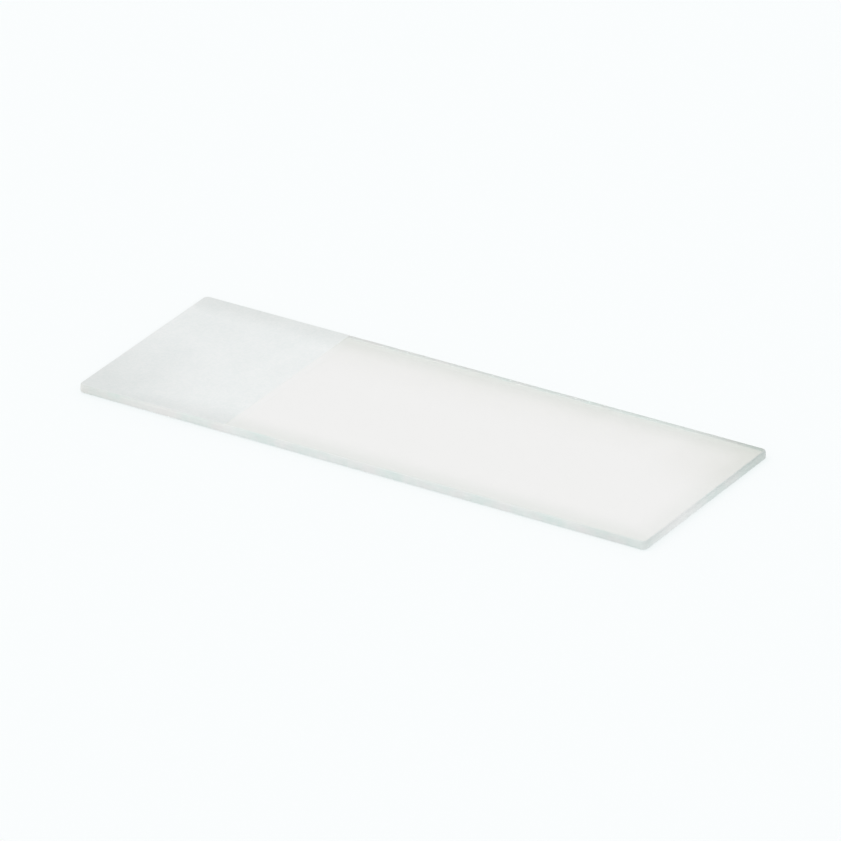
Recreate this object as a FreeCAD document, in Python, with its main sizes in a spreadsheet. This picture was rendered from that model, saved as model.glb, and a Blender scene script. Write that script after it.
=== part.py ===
"""Microscope slide: one flat plate of clear glass with a frosted writing end.

The plate is cut from thin sheet glass, so its two broad faces are flat and parallel. Its corners are
eased and its rim is ground, with a narrow bevel along every arris. At one end the top face is etched
matt over its full width, which takes a thin skin of glass away.

Frame: origin at the centre of the underside, +Z up through the etched face, +X along the length towards
the clear end, +Y across the width. Sizes are in millimetres.
"""
import FreeCAD
import Part
import Sketcher

import os

SIZES = {
    "slide_length": 76.0,
    "slide_width": 26.0,
    "slide_thickness": 1.1,
    "corner_radius": 0.7,
    "arris_bevel": 0.2,
    "frosted_length": 20.0,
    "etch_depth": 0.02,
}

UP = FreeCAD.Vector(0, 0, 1)

# What a sketch constraint takes hold of: a line's two ends, and the sketch's own axis and origin.
START = 1
END = 2
LENGTH_AXIS = -1
ORIGIN = (-1, 1)


def make_size_sheet(document):
    """Lists the driving dimensions in a spreadsheet, each cell with its name as alias."""
    sheet = document.addObject("Spreadsheet::Sheet", "Sizes")
    for row, (name, value) in enumerate(SIZES.items(), start=1):
        sheet.set(f"A{row}", name)
        sheet.set(f"B{row}", str(value))
        sheet.setAlias(f"B{row}", name)
    document.recompute()


def add_sketch(body, name):
    """Adds a sketch on the body's own ground plane."""
    ground = next(plane for plane in body.Origin.OriginFeatures if plane.Role == "XY_Plane")
    sketch = body.newObject("Sketcher::SketchObject", name)
    sketch.AttachmentSupport = (ground, [""])
    sketch.MapMode = "FlatFace"
    return sketch


def draw_rectangle(sketch, left, right, half_width):
    """Draws a closed upright rectangle about the length axis and returns its four sides."""
    corners = [
        FreeCAD.Vector(left, -half_width, 0),
        FreeCAD.Vector(right, -half_width, 0),
        FreeCAD.Vector(right, half_width, 0),
        FreeCAD.Vector(left, half_width, 0),
    ]
    sides = []
    for corner, following in zip(corners, corners[1:] + corners[:1]):
        sides.append(sketch.addGeometry(Part.LineSegment(corner, following), False))
    for side, following in zip(sides, sides[1:] + sides[:1]):
        sketch.addConstraint(Sketcher.Constraint("Coincident", side, END, following, START))
    near, inner, far, _ = sides
    sketch.addConstraint(Sketcher.Constraint("Horizontal", near))
    sketch.addConstraint(Sketcher.Constraint("Horizontal", far))
    sketch.addConstraint(Sketcher.Constraint("Vertical", inner))
    sketch.addConstraint(Sketcher.Constraint("Symmetric", near, START, far, END, LENGTH_AXIS))
    return sides


def bind_distance(sketch, kind, first, second, value, expression):
    """Adds a distance between two points of the sketch and ties it to the size sheet."""
    constraint = sketch.addConstraint(Sketcher.Constraint(kind, *first, *second, value))
    sketch.setExpression(f"Constraints[{constraint}]", expression)


def draw_plate_outline(body):
    """The plate's full outline, centred on the origin."""
    length = SIZES["slide_length"]
    width = SIZES["slide_width"]
    sketch = add_sketch(body, "PlateOutline")
    near, clear_end, _, _ = draw_rectangle(sketch, -length / 2, length / 2, width / 2)
    bind_distance(sketch, "DistanceX", (near, START), (near, END), length, "Sizes.slide_length")
    bind_distance(sketch, "DistanceX", (near, START), ORIGIN, length / 2, "Sizes.slide_length / 2")
    bind_distance(sketch, "DistanceY", (clear_end, START), (clear_end, END), width, "Sizes.slide_width")
    return sketch


def draw_frosted_zone(body):
    """The etched zone's outline on the top face: the full width, from the frosted end inwards."""
    length = SIZES["slide_length"]
    width = SIZES["slide_width"]
    frosted = SIZES["frosted_length"]
    sketch = add_sketch(body, "FrostedZone")
    sketch.setExpression(".AttachmentOffset.Base.z", "Sizes.slide_thickness")
    near, inner_edge, _, _ = draw_rectangle(sketch, -length / 2, frosted - length / 2, width / 2)
    bind_distance(sketch, "DistanceX", (near, START), (near, END), frosted, "Sizes.frosted_length")
    bind_distance(sketch, "DistanceX", (near, START), ORIGIN, length / 2, "Sizes.slide_length / 2")
    bind_distance(sketch, "DistanceY", (inner_edge, START), (inner_edge, END), width, "Sizes.slide_width")
    return sketch


def upright_edges(shape):
    """Names the straight edges that stand upright: the plate's four corners."""
    names = []
    for number, edge in enumerate(shape.Edges, start=1):
        if edge.tangentAt(edge.FirstParameter).isParallel(UP, Part.Precision.angular()):
            names.append(f"Edge{number}")
    return names


def level_faces(shape):
    """Names the faces that lie level: the plate's top and underside."""
    names = []
    for number, face in enumerate(shape.Faces, start=1):
        if face.normalAt(0, 0).isParallel(UP, Part.Precision.angular()):
            names.append(f"Face{number}")
    return names


def make_glass_slide(document):
    """Cuts the plate, eases its corners, bevels its arrises and etches its frosted end."""
    body = document.addObject("PartDesign::Body", "GlassSlide")
    body.Label = "glass_slide"

    plate = body.newObject("PartDesign::Pad", "Plate")
    plate.Profile = draw_plate_outline(body)
    plate.setExpression("Length", "Sizes.slide_thickness")
    document.recompute()

    corners = body.newObject("PartDesign::Fillet", "EasedCorners")
    corners.Base = (plate, upright_edges(plate.Shape))
    corners.setExpression("Radius", "Sizes.corner_radius")
    document.recompute()

    arrises = body.newObject("PartDesign::Chamfer", "BevelledArrises")
    arrises.Base = (corners, level_faces(corners.Shape))
    arrises.setExpression("Size", "Sizes.arris_bevel")
    document.recompute()

    etching = body.newObject("PartDesign::Pocket", "FrostedEnd")
    etching.Profile = draw_frosted_zone(body)
    etching.setExpression("Length", "Sizes.etch_depth")
    document.recompute()
    if etching.Shape.Volume >= arrises.Shape.Volume:
        raise RuntimeError("the frosted end is not etched into the top face")
    return body


def check_model(document, parts):
    """Stops before anything is written if a feature failed or a part's shape is not sound."""
    for item in document.Objects:
        if "Invalid" in item.State or "Error" in item.State:
            raise RuntimeError(f"{item.Name} failed: {item.State}")
    for part in parts:
        if part.Shape.isNull() or not part.Shape.isValid():
            raise RuntimeError(f"{part.Label} has no sound shape")


def write_parts(parts):
    """Writes each part's shape to a STEP file that has the part's label as its name."""
    os.makedirs("parts", exist_ok=True)
    for part in parts:
        part.Shape.exportStep(f"parts/{part.Label}.step")
        box = part.Shape.BoundBox
        print(f"{part.Label}: {box.XLength:.2f} x {box.YLength:.2f} x {box.ZLength:.2f} mm,"
              f" {part.Shape.Volume:.1f} mm3, {len(part.Shape.Faces)} faces")


document = FreeCAD.newDocument("MicroscopeSlide")
make_size_sheet(document)
parts = [make_glass_slide(document)]
document.recompute()
check_model(document, parts)
write_parts(parts)
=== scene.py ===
"""A microscope slide lying on a pale table: one plate of clear glass with a frosted writing end."""

import math

import bpy
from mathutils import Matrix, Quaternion, Vector


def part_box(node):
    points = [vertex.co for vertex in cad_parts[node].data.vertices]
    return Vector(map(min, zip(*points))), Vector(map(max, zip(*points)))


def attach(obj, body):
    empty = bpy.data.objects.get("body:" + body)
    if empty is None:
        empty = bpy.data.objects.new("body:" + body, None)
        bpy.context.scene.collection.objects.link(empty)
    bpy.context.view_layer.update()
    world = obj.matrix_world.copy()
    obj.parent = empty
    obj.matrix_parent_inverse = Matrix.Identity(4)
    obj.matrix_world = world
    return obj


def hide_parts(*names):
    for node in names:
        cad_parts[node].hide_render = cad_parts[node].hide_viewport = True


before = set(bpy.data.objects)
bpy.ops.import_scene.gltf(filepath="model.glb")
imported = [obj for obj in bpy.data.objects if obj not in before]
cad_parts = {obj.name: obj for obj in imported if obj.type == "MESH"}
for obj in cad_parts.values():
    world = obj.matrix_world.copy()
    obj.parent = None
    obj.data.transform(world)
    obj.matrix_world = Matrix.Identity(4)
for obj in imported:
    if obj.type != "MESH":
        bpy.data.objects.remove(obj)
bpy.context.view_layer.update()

# ---- The glass plate -------------------------------------------------------------------------------------
# The slide is one plate cut from thin sheet glass. Its corners are eased on a belt, its rim is ground with a
# narrow bevel along every arris, and both faces keep the fire polish of the sheet. At one end the top face
# is etched matt over its full width, through a mask, for writing on.
LOW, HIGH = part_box("glass_slide")
PLATE_SIZES = {
    "Length": HIGH.x - LOW.x,
    "Width": HIGH.y - LOW.y,
    "Thickness": HIGH.z - LOW.z,
    "Corner Radius": 0.0007,
    "Arris Bevel": 0.0002,
    "Frosted Length": 0.020,
    "Etch Depth": 0.00002,
    "Rim Step": 0.00012,
    "Grinding Wave": 0.0011,
    "Grinding Wander": 0.00003,
    "Mask Wave": 0.0014,
    "Mask Wander": 0.00008,
    "Seed": 4.0,
}
CORNER_STEPS = 10
MASK_STEPS = 180
ARRIS_STEPS = 6
ARRIS_ROUNDNESS = 1.4
BITE_PAST_SIDES = 1.1
LEVEL = 0.9999
UPRIGHT = 0.7
WELD = 0.0000001


def add_node(tree, kind, inputs=None, **settings):
    """Adds a node to a tree. Each input is given a value, or the socket that feeds it."""
    node = tree.nodes.new(kind)
    for name, value in settings.items():
        setattr(node, name, value)
    for name, value in (inputs or {}).items():
        if isinstance(value, bpy.types.NodeSocket):
            tree.links.new(value, node.inputs[name])
        else:
            node.inputs[name].default_value = value
    return node


def add_maths(tree, operation, first, second=0.0):
    """Adds one sum on two numbers to a tree and returns its result."""
    return add_node(tree, "ShaderNodeMath", {0: first, 1: second}, operation=operation).outputs[0]


def arris_courses():
    """How far each course of a bevel stands in, and how high it is, as shares of the bevel's size."""
    courses = []
    for step in range(ARRIS_STEPS + 1):
        turn = math.pi / 2 * step / ARRIS_STEPS
        inset = 1 - math.sin(turn) ** (2 / ARRIS_ROUNDNESS)
        rise = 1 - math.cos(turn) ** (2 / ARRIS_ROUNDNESS)
        courses.append((inset, rise))
    return courses


def ground_plate_tree(sizes, polished, ground, etched):
    """Raises the rim from a rounded outline, course by course, and etches one end of the top face."""
    tree = bpy.data.node_groups.new("ground_plate", "GeometryNodeTree")
    for name in sizes:
        tree.interface.new_socket(name, in_out="INPUT", socket_type="NodeSocketFloat")
    tree.interface.new_socket("Geometry", in_out="OUTPUT", socket_type="NodeSocketGeometry")
    size = add_node(tree, "NodeGroupInput").outputs

    def node(kind, inputs=None, **settings):
        return add_node(tree, kind, inputs, **settings).outputs[0]

    def number(operation, first, second=0.0):
        return add_maths(tree, operation, first, second)

    def close(first, second, within):
        return node("ShaderNodeMath", {0: first, 1: second, 2: within}, operation="COMPARE")

    def vector(operation, first, second=(0, 0, 0)):
        return node("ShaderNodeVectorMath", {0: first, 1: second}, operation=operation)

    def scaled(direction, amount):
        return node("ShaderNodeVectorMath", {0: direction, "Scale": amount}, operation="SCALE")

    def unevenness(wave):
        inputs = {"W": size["Seed"], "Scale": number("DIVIDE", 1.0, wave), "Detail": 3.0}
        return node("ShaderNodeTexNoise", inputs, noise_dimensions="4D")

    half_length = number("MULTIPLY", size["Length"], 0.5)
    half_width = number("MULTIPLY", size["Width"], 0.5)
    half_thickness = number("MULTIPLY", size["Thickness"], 0.5)

    # The outline: a rectangle with eased corners, in short steps so that the rim can be uneven.
    outline = {"Width": size["Length"], "Height": size["Width"]}
    outline = node("GeometryNodeCurvePrimitiveQuadrilateral", outline)
    easing = {"Curve": outline, "Radius": size["Corner Radius"], "Count": CORNER_STEPS}
    outline = node("GeometryNodeFilletCurve", easing, mode="POLY")
    outline = node("GeometryNodeResampleCurve", {"Curve": outline, "Length": size["Rim Step"]}, mode="LENGTH")
    plate = node("GeometryNodeFillCurve", {"Curve": outline}, mode="NGONS")

    # Outwards is away from the nearest point of the rectangle that joins the corners' centres.
    place = node("GeometryNodeInputPosition")
    core = node("ShaderNodeCombineXYZ", {
        "X": number("SUBTRACT", half_length, size["Corner Radius"]),
        "Y": number("SUBTRACT", half_width, size["Corner Radius"]),
    })
    nearest = vector("MAXIMUM", vector("MINIMUM", place, core), scaled(core, -1.0))
    outwards = vector("NORMALIZE", vector("MULTIPLY", vector("SUBTRACT", place, nearest), (1, 1, 0)))

    # The rim's courses, from the underside up: the lower bevel, the ground land and the upper bevel.
    bevel = size["Arris Bevel"]
    start = number("MULTIPLY", bevel, -1.0)
    plate = node("GeometryNodeSetPosition", {"Geometry": plate, "Offset": scaled(outwards, start)})
    underside = node("GeometryNodeFlipFaces", {"Mesh": plate})
    courses = arris_courses()
    lifts = []
    for (inset, rise), (next_inset, next_rise) in zip(courses, courses[1:]):
        out = number("MULTIPLY", bevel, inset - next_inset)
        up = number("MULTIPLY", bevel, next_rise - rise)
        lifts.append((out, up))
    lifts.append((0.0, number("SUBTRACT", size["Thickness"], number("MULTIPLY", bevel, 2.0))))
    for (inset, rise), (next_inset, next_rise) in zip(courses[::-1], courses[-2::-1]):
        out = number("MULTIPLY", bevel, inset - next_inset)
        up = number("MULTIPLY", bevel, rise - next_rise)
        lifts.append((out, up))
    top = True
    for out, up in lifts:
        lift = node("ShaderNodeCombineXYZ", {"Z": up})
        raising = {"Mesh": plate, "Selection": top, "Offset": lift, "Individual": False}
        raised = add_node(tree, "GeometryNodeExtrudeMesh", raising, mode="FACES")
        top = raised.outputs["Top"]
        spreading = {"Geometry": raised.outputs["Mesh"], "Selection": top, "Offset": scaled(outwards, out)}
        plate = node("GeometryNodeSetPosition", spreading)
    both = tree.nodes.new("GeometryNodeJoinGeometry")
    tree.links.new(underside, both.inputs[0])
    tree.links.new(plate, both.inputs[0])
    plate = node("GeometryNodeMergeByDistance", {"Geometry": both.outputs[0], "Distance": WELD})

    # The wheel takes a little more here and less there, always inwards.
    taken = number("MULTIPLY", unevenness(size["Grinding Wave"]), size["Grinding Wander"])
    inwards = scaled(outwards, number("MULTIPLY", taken, -1.0))
    plate = node("GeometryNodeSetPosition", {"Geometry": plate, "Offset": inwards})

    # The etch: a shallow bite out of the top face, up to a mask whose edge is a little ragged. The bite is
    # twice as long as the frosted end and wider than the plate, so that it cuts clean past the rim.
    mask_edge = number("SUBTRACT", size["Frosted Length"], half_length)
    bite_size = node("ShaderNodeCombineXYZ", {
        "X": number("MULTIPLY", size["Frosted Length"], 2.0),
        "Y": number("MULTIPLY", size["Width"], BITE_PAST_SIDES),
        "Z": size["Thickness"],
    })
    bite_place = node("ShaderNodeCombineXYZ", {
        "X": number("SUBTRACT", mask_edge, size["Frosted Length"]),
        "Z": number("ADD", number("SUBTRACT", size["Thickness"], size["Etch Depth"]), half_thickness),
    })
    bite = node("GeometryNodeMeshCube", {"Size": bite_size, "Vertices Y": MASK_STEPS})
    bite = node("GeometryNodeTransform", {"Geometry": bite, "Translation": bite_place})
    at = add_node(tree, "ShaderNodeSeparateXYZ", {0: place}).outputs
    at_mask = close(at["X"], mask_edge, WELD)
    ragged = number("MULTIPLY", number("SUBTRACT", unevenness(size["Mask Wave"]), 0.5), size["Mask Wander"])
    ragged = node("ShaderNodeCombineXYZ", {"X": ragged})
    bite = node("GeometryNodeSetPosition", {"Geometry": bite, "Selection": at_mask, "Offset": ragged})
    etching = {"Mesh 1": plate, "Mesh 2": bite}
    plate = node("GeometryNodeMeshBoolean", etching, operation="DIFFERENCE", solver="EXACT")

    # The finishes: polished on the level faces, matt where the etch went and on its step, ground on the rim.
    facing = add_node(tree, "GeometryNodeInputNormal").outputs["True Normal"]
    facing = add_node(tree, "ShaderNodeSeparateXYZ", {0: facing}).outputs
    level = number("GREATER_THAN", number("ABSOLUTE", facing["Z"]), LEVEL)
    upper = number("GREATER_THAN", number("MULTIPLY", facing["Z"], at["Z"]), half_thickness)
    masked_off = number("LESS_THAN", at["X"], number("ADD", mask_edge, size["Mask Wander"]))
    matt = number("MULTIPLY", number("MULTIPLY", level, masked_off), upper)
    at_step = close(at["X"], mask_edge, size["Mask Wander"])
    step = number("MULTIPLY", at_step, number("GREATER_THAN", facing["X"], UPRIGHT))
    step = number("MAXIMUM", step, number("MULTIPLY", at_step, number("LESS_THAN", facing["X"], -UPRIGHT)))
    matt = number("MAXIMUM", matt, step)
    plate = node("GeometryNodeRealizeInstances", {"Geometry": plate})
    rounded = number("SUBTRACT", 1.0, level)
    plate = node("GeometryNodeSetShadeSmooth", {"Geometry": plate, "Shade Smooth": rounded})
    plate = node("GeometryNodeSetMaterial", {"Geometry": plate, "Material": ground})
    plate = node("GeometryNodeSetMaterial", {"Geometry": plate, "Selection": level, "Material": polished})
    plate = node("GeometryNodeSetMaterial", {"Geometry": plate, "Selection": matt, "Material": etched})
    add_node(tree, "NodeGroupOutput", {0: plate})
    return tree


GLASS_BENDS_LIGHT = 1.517


def glass(name, see_through, light_kept):
    """A glass shader. Light bound for what lies behind passes straight on, a little weaker by each face."""
    material = bpy.data.materials.new(name)
    material.use_nodes = True
    tree = material.node_tree
    shader = tree.nodes["Principled BSDF"]
    shader.inputs["IOR"].default_value = GLASS_BENDS_LIGHT
    shader.inputs["Transmission Weight"].default_value = see_through
    ray = add_node(tree, "ShaderNodeLightPath").outputs
    passing = add_node(tree, "ShaderNodeBsdfTransparent", {"Color": light_kept}).outputs[0]
    shown = shader.outputs[0]
    for kind in ("Is Diffuse Ray", "Is Shadow Ray"):
        shown = add_node(tree, "ShaderNodeMixShader", {0: ray[kind], 1: shown, 2: passing}).outputs[0]
    tree.links.new(shown, tree.nodes["Material Output"].inputs["Surface"])
    return material, tree, shader


def add_grain(tree, length, across=None, up=None, detail=2.0):
    """Noise in the glass itself, with grains of a given length, width and height."""
    place = add_node(tree, "ShaderNodeTexCoord").outputs["Object"]
    stretch = (1 / length, 1 / (across or length), 1 / (up or length))
    place = add_node(tree, "ShaderNodeMapping", {"Vector": place, "Scale": stretch}).outputs[0]
    return add_node(tree, "ShaderNodeTexNoise", {"Vector": place, "Scale": 1.0, "Detail": detail}).outputs[0]


def add_range(tree, value, low, high, from_low=0.3, from_high=0.7):
    """Spreads a value between two ends, soft at both."""
    ends = {"Value": value, "From Min": from_low, "From Max": from_high, "To Min": low, "To Max": high}
    return add_node(tree, "ShaderNodeMapRange", ends, interpolation_type="SMOOTHSTEP").outputs[0]


# Where a Mix node takes its share and its two colours, and where it gives the blended colour.
MIX_SHARE = 0
MIX_FIRST = 6
MIX_SECOND = 7
MIX_RESULT = 2


def add_blend(tree, share, first, second, way="MIX"):
    """Blends two colours by a share from 0 to 1."""
    inputs = {MIX_SHARE: share, MIX_FIRST: first, MIX_SECOND: second}
    blend = add_node(tree, "ShaderNodeMix", inputs, data_type="RGBA", blend_type=way)
    return blend.outputs[MIX_RESULT]


def add_cast(tree, share, colour, cast):
    """Tints a colour with a cast, by a share from 0 to 1."""
    return add_blend(tree, share, colour, cast, way="MULTIPLY")


def add_relief(tree, shader, height, depth):
    """Gives a shader fine relief of a given depth."""
    relief = add_node(tree, "ShaderNodeBump", {"Height": height, "Distance": depth, "Strength": 1.0})
    tree.links.new(relief.outputs[0], shader.inputs["Normal"])


def add_place(tree):
    """Where a point lies along, across and above the plate."""
    place = add_node(tree, "ShaderNodeTexCoord").outputs["Object"]
    return add_node(tree, "ShaderNodeSeparateXYZ", {0: place}).outputs


# The share of the rim's painted shade that the plate's ends take.
END_SHADE_SHARE = 0.5


def add_rim_shade(tree, at, sizes, side_reach, end_reach):
    """How much painted shade from the rim a point takes: most beside the long sides, none beyond its reach.
    """
    from_end = add_maths(tree, "SUBTRACT", sizes["Length"] / 2, add_maths(tree, "ABSOLUTE", at["X"]))
    from_side = add_maths(tree, "SUBTRACT", sizes["Width"] / 2, add_maths(tree, "ABSOLUTE", at["Y"]))
    by_end = add_range(tree, from_end, END_SHADE_SHARE, 0.0, 0.0, end_reach)
    by_side = add_range(tree, from_side, 1.0, 0.0, 0.0, side_reach)
    return add_maths(tree, "MAXIMUM", by_end, by_side)


def add_nearness(tree, at, spot, reach):
    """How near a point lies to a spot on the plate: 1 on the spot, 0 beyond its reach."""
    along = add_maths(tree, "POWER", add_maths(tree, "SUBTRACT", at["X"], spot[0]), 2.0)
    across = add_maths(tree, "POWER", add_maths(tree, "SUBTRACT", at["Y"], spot[1]), 2.0)
    distance = add_maths(tree, "SQRT", add_maths(tree, "ADD", along, across))
    return add_range(tree, distance, 1.0, 0.0, 0.0, reach)


# The faces: the sheet's own fire polish, clear and almost without colour. They are greyer, warmer and a
# little rougher towards one corner and along the far side. Painted greenish shade darkens them beside the
# rim.
POLISHED_SEE_THROUGH = 1.0
POLISHED_LIGHT_KEPT = (0.99, 0.99, 0.99, 1)
POLISHED = (0.985, 0.957, 0.943, 1)
POLISHED_GREYED = (0.85, 0.83, 0.785, 1)
# Painted greenish shade on the faces beside the rim.
POLISHED_RIM_SHADE = (0.905, 0.922, 0.905, 1)
RIM_SHADE_REACH = 0.0045
GREYING_REACH = 0.016
GREYING_SIDE = (0.003, 0.013)
GREYING_SIDE_SHARE = 0.38
GREYING_PATCH = 0.007
GREYING_THINNEST = 0.7
GREYING_ROUGHNESS = 0.05
GREYING_DULLS_FROM = 0.2
DRAW_WAVE = (0.030, 0.004, 0.030)
DRAW_WAVE_DEPTH = 0.000002


def polished_glass(sizes):
    """Clear glass, greyer at a corner and along the far side, painted shade by the rim, faint draw waves."""
    material, tree, shader = glass("polished_glass", POLISHED_SEE_THROUGH, POLISHED_LIGHT_KEPT)
    at = add_place(tree)
    corner = (sizes["Length"] / 2, sizes["Width"] / 2)
    # Greyer, warmer and a little rougher towards the far clear corner and along the far side, in patches.
    darker_corner = add_nearness(tree, at, corner, GREYING_REACH)
    far_side = add_range(tree, at["Y"], 0.0, GREYING_SIDE_SHARE, *GREYING_SIDE)
    patchy = add_range(tree, add_grain(tree, GREYING_PATCH, detail=4.0), GREYING_THINNEST, 1.0)
    greying = add_maths(tree, "MULTIPLY", add_maths(tree, "MAXIMUM", darker_corner, far_side), patchy)
    colour = add_blend(tree, greying, POLISHED, POLISHED_GREYED)
    # Painted shade beside the rim.
    rim_shade = add_rim_shade(tree, at, sizes, RIM_SHADE_REACH, RIM_SHADE_REACH)
    colour = add_cast(tree, rim_shade, colour, POLISHED_RIM_SHADE)
    tree.links.new(colour, shader.inputs["Base Color"])
    dulled = add_range(tree, greying, 0.0, GREYING_ROUGHNESS, GREYING_DULLS_FROM, 1.0)
    tree.links.new(dulled, shader.inputs["Roughness"])
    add_relief(tree, shader, add_grain(tree, *DRAW_WAVE), DRAW_WAVE_DEPTH)
    return material


# The writing end: an acid etch, milky and fine-grained. It is thinner where the acid bit less. Painted shade
# greys it towards its outer end, at its outer near corner and beside the rim.
ETCHED_SEE_THROUGH = 0.2
ETCHED_LIGHT_KEPT = (0.96, 0.97, 0.97, 1)
ETCHED_THIN = (0.878, 0.893, 0.886, 1)
ETCHED_MILKY = (0.949, 0.943, 0.936, 1)
# Painted shade towards the etch's outer end.
ETCHED_END_SHADE = (0.972, 0.972, 0.972, 1)
# Painted shade beside the rim and at the outer near corner.
ETCHED_PAINTED_SHADE = (0.895, 0.90, 0.895, 1)
ETCHED_CLOUD = 0.006
ETCHED_CLOUD_SHARE = 0.4
ETCHED_GRAIN = 0.0003
ETCHED_GRAIN_SHARE = 0.6
ETCHED_GRAIN_DEPTH = 0.00002
ETCHED_ROUGHNESS = (0.62, 0.48)
ETCHED_END_SHADE_REACH = (0.003, 0.020)
ETCHED_CORNER_SHADE_REACH = 0.018
ETCHED_RIM_SHADE_REACH = 0.0005


def etched_glass(sizes):
    """Milky etched glass: a fine grain under slow clouds, with painted shade by the rim, outer end and
    corner.
    """
    material, tree, shader = glass("etched_glass", ETCHED_SEE_THROUGH, ETCHED_LIGHT_KEPT)
    at = add_place(tree)
    cloud = add_grain(tree, ETCHED_CLOUD, detail=4.0)
    grain = add_grain(tree, ETCHED_GRAIN)
    clouded = add_range(tree, cloud, 0.0, ETCHED_CLOUD_SHARE)
    grained = add_range(tree, grain, 0.0, ETCHED_GRAIN_SHARE)
    colour = add_blend(tree, add_maths(tree, "ADD", clouded, grained), ETCHED_THIN, ETCHED_MILKY)
    # Painted shade greys the etch towards its outer end.
    from_end = add_maths(tree, "ADD", at["X"], sizes["Length"] / 2)
    colour = add_cast(tree, add_range(tree, from_end, 1.0, 0.0, *ETCHED_END_SHADE_REACH), colour, ETCHED_END_SHADE)
    # Painted shade beside the rim and at the outer near corner.
    corner = (-sizes["Length"] / 2, -sizes["Width"] / 2)
    darker_corner = add_nearness(tree, at, corner, ETCHED_CORNER_SHADE_REACH)
    rim_shade = add_rim_shade(tree, at, sizes, RIM_SHADE_REACH, ETCHED_RIM_SHADE_REACH)
    colour = add_cast(tree, add_maths(tree, "MAXIMUM", rim_shade, darker_corner), colour, ETCHED_PAINTED_SHADE)
    tree.links.new(colour, shader.inputs["Base Color"])
    tree.links.new(add_range(tree, cloud, *ETCHED_ROUGHNESS), shader.inputs["Roughness"])
    add_relief(tree, shader, grain, ETCHED_GRAIN_DEPTH)
    return material


# The rim: matt as the wheel leaves it. It shows the body colour of the glass, green in patches and grey
# between them, greener towards the clear end, and it has fine lines along the wheel's travel. The near half
# of the clear end is paler and the near side darker beside it. Painted shade darkens two corners, the upper
# bevel and the rim of the frosted end.
GROUND_SEE_THROUGH = 0.08
GROUND_LIGHT_KEPT = (0.90, 0.93, 0.925, 1)
GROUND_GREEN = (0.765, 0.85, 0.82, 1)
GROUND_GREY = (0.86, 0.852, 0.84, 1)
GROUND_PALE = (0.91, 0.90, 0.888, 1)
GROUND_PALE_PATCH = (0.955, 0.95, 0.94, 1)
# Painted shade on the upper bevel.
ARRIS_SHADE = (0.95, 0.95, 0.95, 1)
# Painted shade at two corners.
CORNER_SHADE = (0.80, 0.80, 0.79, 1)
OUTER_CORNER_SHADE = (0.94, 0.94, 0.93, 1)
CORNER_SHADE_REACH = 0.012
PALE_PATCH_ACROSS = -0.006
PALE_PATCH_REACH = 0.009
NEAR_SIDE_DARKER = (0.93, 0.93, 0.93, 1)
DARKER_FROM_END = 0.004
DARKER_REACH = 0.008
# Painted shade along the rim of the frosted end.
FROSTED_RIM_SHADE = (0.975, 0.965, 0.96, 1)
FROSTED_RIM_FADE = 0.001
GREEN_PATCH = 0.0035
GREENER_PER_METRE = 3.0
WHEEL_LINE = (0.005, 0.005, 0.00009)
WHEEL_BITE = 0.0009
WHEEL_SHARE = 0.3
WHEEL_DEPTH = 0.00002
GROUND_ROUGHNESS = (0.35, 0.6)


def ground_glass(sizes):
    """Ground glass: body colour in patches, wheel lines and bites, painted shade on the upper bevel and
    corners.
    """
    material, tree, shader = glass("ground_glass", GROUND_SEE_THROUGH, GROUND_LIGHT_KEPT)
    at = add_place(tree)
    lines = add_grain(tree, *WHEEL_LINE, detail=3.0)
    bites = add_grain(tree, WHEEL_BITE, detail=4.0)
    greener = add_maths(tree, "MULTIPLY", at["X"], GREENER_PER_METRE)
    patches = add_maths(tree, "SUBTRACT", add_grain(tree, GREEN_PATCH), greener)
    colour = add_blend(tree, add_range(tree, patches, 0.0, 1.0), GROUND_GREEN, GROUND_GREY)
    lined = add_range(tree, lines, 0.0, WHEEL_SHARE)
    bitten = add_range(tree, bites, 0.0, WHEEL_SHARE)
    colour = add_blend(tree, add_maths(tree, "ADD", lined, bitten), colour, GROUND_PALE)
    # A paler patch on the near half of the clear end.
    patch = (sizes["Length"] / 2, PALE_PATCH_ACROSS)
    colour = add_blend(tree, add_nearness(tree, at, patch, PALE_PATCH_REACH), colour, GROUND_PALE_PATCH)
    # Darker on the near side, just beside the clear end.
    patch = (sizes["Length"] / 2 - DARKER_FROM_END, -sizes["Width"] / 2)
    colour = add_cast(tree, add_nearness(tree, at, patch, DARKER_REACH), colour, NEAR_SIDE_DARKER)
    # Painted shade darkens the upper bevel.
    bevel_foot = sizes["Thickness"] - sizes["Arris Bevel"]
    bevel_middle = sizes["Thickness"] - sizes["Arris Bevel"] / 2
    on_bevel = add_range(tree, at["Z"], 0.0, 1.0, bevel_foot, bevel_middle)
    colour = add_cast(tree, on_bevel, colour, ARRIS_SHADE)
    # Painted shade at the far clear corner and, fainter, at the outer near corner.
    corner = (sizes["Length"] / 2, sizes["Width"] / 2)
    colour = add_cast(tree, add_nearness(tree, at, corner, CORNER_SHADE_REACH), colour, CORNER_SHADE)
    corner = (-sizes["Length"] / 2, -sizes["Width"] / 2)
    colour = add_cast(tree, add_nearness(tree, at, corner, CORNER_SHADE_REACH), colour, OUTER_CORNER_SHADE)
    # Painted shade along the rim of the frosted end.
    mask_edge = sizes["Frosted Length"] - sizes["Length"] / 2
    fade = (mask_edge - FROSTED_RIM_FADE, mask_edge + FROSTED_RIM_FADE)
    colour = add_cast(tree, add_range(tree, at["X"], 1.0, 0.0, *fade), colour, FROSTED_RIM_SHADE)
    tree.links.new(colour, shader.inputs["Base Color"])
    tree.links.new(add_range(tree, bites, *GROUND_ROUGHNESS), shader.inputs["Roughness"])
    add_relief(tree, shader, add_maths(tree, "ADD", lines, bites), WHEEL_DEPTH)
    return material


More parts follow.
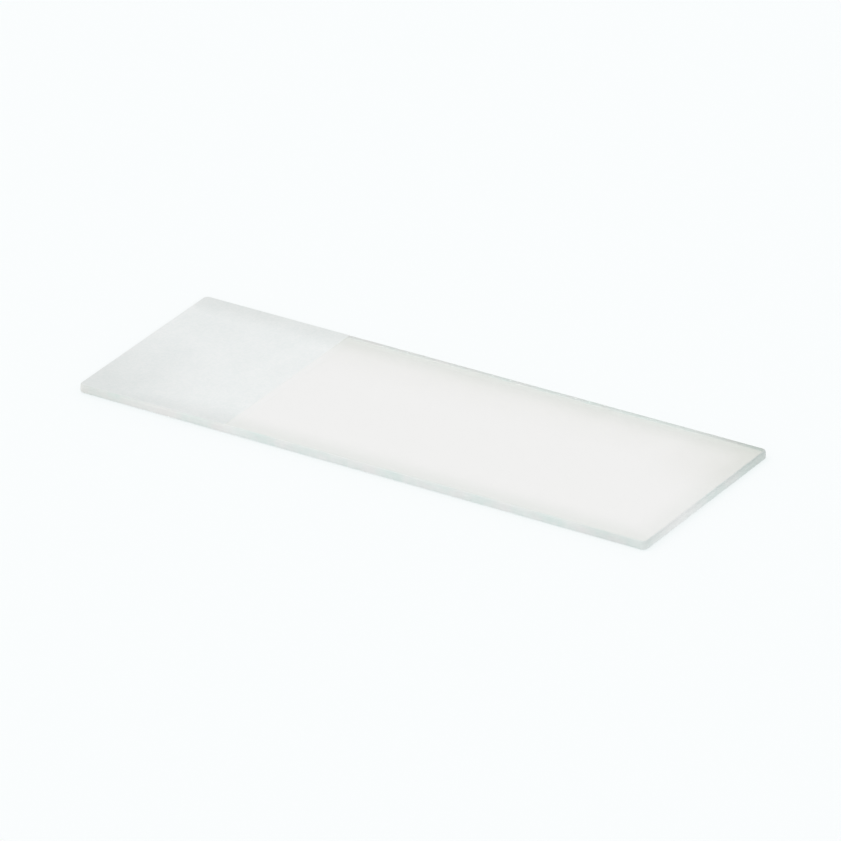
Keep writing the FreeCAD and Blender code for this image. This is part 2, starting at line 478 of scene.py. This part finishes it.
def grow(name, tree, sizes):
    """Runs a geometry tree that starts from nothing, and keeps what it makes as a plain mesh."""
    piece = bpy.data.objects.new(name, bpy.data.meshes.new(name))
    bpy.context.scene.collection.objects.link(piece)
    modifier = piece.modifiers.new(name, "NODES")
    modifier.node_group = tree
    for socket in tree.interface.items_tree:
        if socket.in_out == "INPUT":
            modifier[socket.identifier] = sizes[socket.name]
    depsgraph = bpy.context.evaluated_depsgraph_get()
    mesh = bpy.data.meshes.new_from_object(piece.evaluated_get(depsgraph), depsgraph=depsgraph)
    # The modifier leaves an empty slot in front of the finishes.
    mesh.materials.pop(index=0)
    piece.modifiers.clear()
    piece.data = mesh
    return piece


finishes = polished_glass(PLATE_SIZES), ground_glass(PLATE_SIZES), etched_glass(PLATE_SIZES)
plate = grow("ground_plate", ground_plate_tree(PLATE_SIZES, *finishes), PLATE_SIZES)
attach(plate, "root")
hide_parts("glass_slide")

# ---- The table top ---------------------------------------------------------------------------------------
# A wide sheet of matt white card, laid flat under the slide. It is not part of the object.
# It lies a hair below the glass, so that the two surfaces never share a plane.
TABLE_HALF = 40.0
TABLE_GAP = 0.00001
CARD_WHITE = (0.984, 0.986, 0.987, 1)

corners = []
for x, y in ((-1, -1), (1, -1), (1, 1), (-1, 1)):
    corners.append((x * TABLE_HALF, y * TABLE_HALF, LOW.z - TABLE_GAP))
sheet = bpy.data.meshes.new("table_top")
sheet.from_pydata(corners, [], [(0, 1, 2, 3)])
table = bpy.data.objects.new("table_top", sheet)
bpy.context.scene.collection.objects.link(table)
card = bpy.data.materials.new("white_card")
card.use_nodes = True
card_shader = card.node_tree.nodes["Principled BSDF"]
card_shader.inputs["Base Color"].default_value = CARD_WHITE
card_shader.inputs["Roughness"].default_value = 1.0
card_shader.inputs["Specular IOR Level"].default_value = 0.0
sheet.materials.append(card)

# ---- The studio light ------------------------------------------------------------------------------------
# Soft, slightly cool white light from all round, a little brighter towards the horizon, as in front of a pale
# sweep, and one broad white lamp high up at the front left. Below the horizon it matches the table top, so
# that a low view shows no line where the table ends.
COOL_WHITE = (0.97, 1.0, 1.005, 1)
OVERHEAD_LIGHT = 0.71
HORIZON_LIGHT = 0.88
HORIZON_REACH = 0.35
TABLE_EXTRA = 0.10
SOFTBOX_AT = (-0.55, -0.35, 1.35)
SOFTBOX_POWER = 0.98
SOFTBOX_BREADTH = 0.76

world = bpy.data.worlds.new("studio")
world.use_nodes = True
studio = world.node_tree
direction = add_node(studio, "ShaderNodeTexCoord").outputs["Generated"]
height = add_node(studio, "ShaderNodeSeparateXYZ", {0: direction}).outputs["Z"]
level = add_range(studio, height, HORIZON_LIGHT, OVERHEAD_LIGHT, 0.0, HORIZON_REACH)
below = add_maths(studio, "MULTIPLY", add_maths(studio, "LESS_THAN", height, 0.0), TABLE_EXTRA)
level = add_maths(studio, "ADD", level, below)
studio.links.new(level, studio.nodes["Background"].inputs["Strength"])
studio.nodes["Background"].inputs["Color"].default_value = COOL_WHITE
bpy.context.scene.world = world

softbox = bpy.data.lights.new("softbox", "SUN")
softbox.energy = SOFTBOX_POWER
softbox.angle = SOFTBOX_BREADTH
lamp = bpy.data.objects.new("softbox", softbox)
lamp.location = SOFTBOX_AT
lamp.rotation_euler = (-lamp.location).to_track_quat("-Z", "Y").to_euler()
bpy.context.scene.collection.objects.link(lamp)

# ---- The camera ------------------------------------------------------------------------------------------
# It stands in front of the slide to the right, looks down on it at about 27 degrees through a long lens, and
# leans a little to its left.
CAMERA_AT = (0.598, -0.8954, 0.5574)
CAMERA_LENS = 460.0
CAMERA_SENSOR = 36.0
CAMERA_LEAN = -0.0271
CAMERA_NEAREST = 0.01
CAMERA_FARTHEST = 200.0

camera_data = bpy.data.cameras.new("camera")
camera_data.lens = CAMERA_LENS
camera_data.sensor_width = CAMERA_SENSOR
camera_data.clip_start = CAMERA_NEAREST
camera_data.clip_end = CAMERA_FARTHEST
camera = bpy.data.objects.new("camera", camera_data)
camera.location = CAMERA_AT
slide_middle = Vector((0, 0, (LOW.z + HIGH.z) / 2))
aim = (slide_middle - camera.location).to_track_quat("-Z", "Y")
camera.rotation_euler = (aim @ Quaternion((0, 0, 1), CAMERA_LEAN)).to_euler()
bpy.context.scene.collection.objects.link(camera)
bpy.context.scene.camera = camera
bpy.context.scene.view_settings.view_transform = "Standard"
